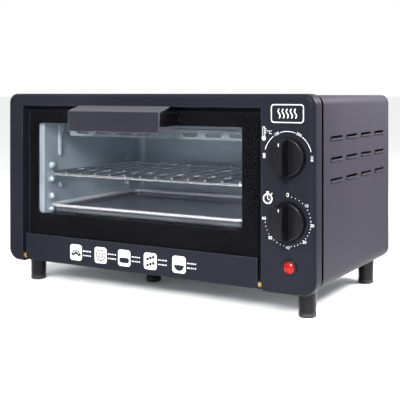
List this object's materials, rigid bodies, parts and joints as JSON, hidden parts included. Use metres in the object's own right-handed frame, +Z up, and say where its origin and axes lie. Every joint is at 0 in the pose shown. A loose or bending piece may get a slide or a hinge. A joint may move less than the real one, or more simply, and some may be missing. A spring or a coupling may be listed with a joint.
{
  "type": "toaster oven",
  "caption": "Small countertop toaster oven with a glass drop-down door, bar handle, temperature and timer knobs, wire rack, baking tray and short feet.",
  "frame": {"origin": "middle of the overall box in X and Y, on the surface that the feet stand on", "axes": "+X along the width, to the right seen from the front; +Y from the door to the back; +Z up"},
  "size_m": [0.36, 0.2498, 0.205],
  "materials": {
    "casing_paint": "satin charcoal paint with fine texture",
    "galvanised_steel": "galvanised sheet",
    "aluminised_steel": "aluminised sheet",
    "tinted_glass": "toughened, lightly tinted",
    "black_phenolic": "moulded, heat resistant",
    "foot_rubber": "matt",
    "silicone": "matt red silicone",
    "brass": "turned",
    "zinc_screws": "zinc plated",
    "bright_wire": "plated wire",
    "tray_enamel": "dark enamel with a bright rolled edge",
    "heater_sheath": "heat-darkened sheath",
    "ceramic": "unglazed steatite",
    "timer_case": "passivated case",
    "red_lens": "clear red moulding",
    "lamp_glass": "clear",
    "wire_sleeve": "glass-fibre sleeving"
  },
  "bodies": {
    "body": {"base_plate": "galvanised_steel", "cavity_ceiling": "aluminised_steel", "cavity_floor": "aluminised_steel", "cavity_shell": "aluminised_steel", "control_screws": "zinc_screws", "cord_inlet_bushing": "black_phenolic", "earth_screw": "zinc_screws", "foot_front_left": "black_phenolic", "foot_front_left_pad": "foot_rubber", "foot_front_right": "black_phenolic", "foot_front_right_pad": "foot_rubber", "foot_middle": "black_phenolic", "foot_middle_pad": "foot_rubber", "foot_rear_left": "black_phenolic", "foot_rear_left_pad": "foot_rubber", "foot_rear_right": "black_phenolic", "foot_rear_right_pad": "foot_rubber", "foot_screws": "zinc_screws", "front_panel": "casing_paint", "heater_bushes": "ceramic", "heater_links": "wire_sleeve", "hinge_pin_left": "brass", "hinge_pin_right": "brass", "hinge_washers": "brass", "indicator_bezel": "black_phenolic", "indicator_clip": "zinc_screws", "indicator_lamp": "lamp_glass", "indicator_lens": "red_lens", "live_wire": "wire_sleeve", "lower_heater_front": "heater_sheath", "lower_heater_rear": "heater_sheath", "neutral_wire": "wire_sleeve", "outer_wrap": "casing_paint", "rear_cover": "galvanised_steel", "rear_cover_screws": "zinc_screws", "terminal_block": "ceramic", "terminal_screws": "zinc_screws", "thermostat_body": "ceramic", "timer_bell": "timer_case", "timer_body": "timer_case", "timer_wire": "wire_sleeve", "upper_heater_front": "heater_sheath", "upper_heater_guard": "aluminised_steel", "upper_heater_rear": "heater_sheath"},
    "door": {"door_glass": "tinted_glass", "door_trim": "casing_paint", "glass_gasket": "silicone", "glass_setting_pads": "silicone", "handle_grip": "black_phenolic", "handle_facing": "casing_paint", "handle_screws": "zinc_screws", "handle_washers": "zinc_screws"},
    "temperature_control": {"temperature_knob": "black_phenolic", "thermostat_shaft": "zinc_screws"},
    "timer_control": {"timer_knob": "black_phenolic", "timer_shaft": "zinc_screws"},
    "rack": {"wire_rack": "bright_wire"},
    "tray": {"baking_tray": "tray_enamel"}
  },
  "joints": [
    {"name": "door_hinge", "type": "hinge", "parent": "body", "child": "door", "pos_m": [0, -0.08705, 0.03], "axis": [1, 0, 0], "range_deg": [0, 83]},
    {"name": "temperature_turn", "type": "hinge", "parent": "body", "child": "temperature_control", "pos_m": [0.1537, -0.09155, 0.148], "axis": [0, 1, 0], "range_deg": [-90, 90]},
    {"name": "timer_turn", "type": "hinge", "parent": "body", "child": "timer_control", "pos_m": [0.1537, -0.09155, 0.0904], "axis": [0, 1, 0], "range_deg": [0, 273]},
    {"name": "rack_slide", "type": "slide", "parent": "body", "child": "rack", "axis": [0, -1, 0], "range_m": [0, 0.0826]},
    {"name": "tray_slide", "type": "slide", "parent": "body", "child": "tray", "axis": [0, -1, 0], "range_m": [0, 0.0493]}
  ],
  "couplings": [
    {"joint": "rack_slide", "follows": "door_hinge", "m_per_rad": 0.057},
    {"joint": "tray_slide", "follows": "door_hinge", "m_per_rad": 0.034}
  ]
}
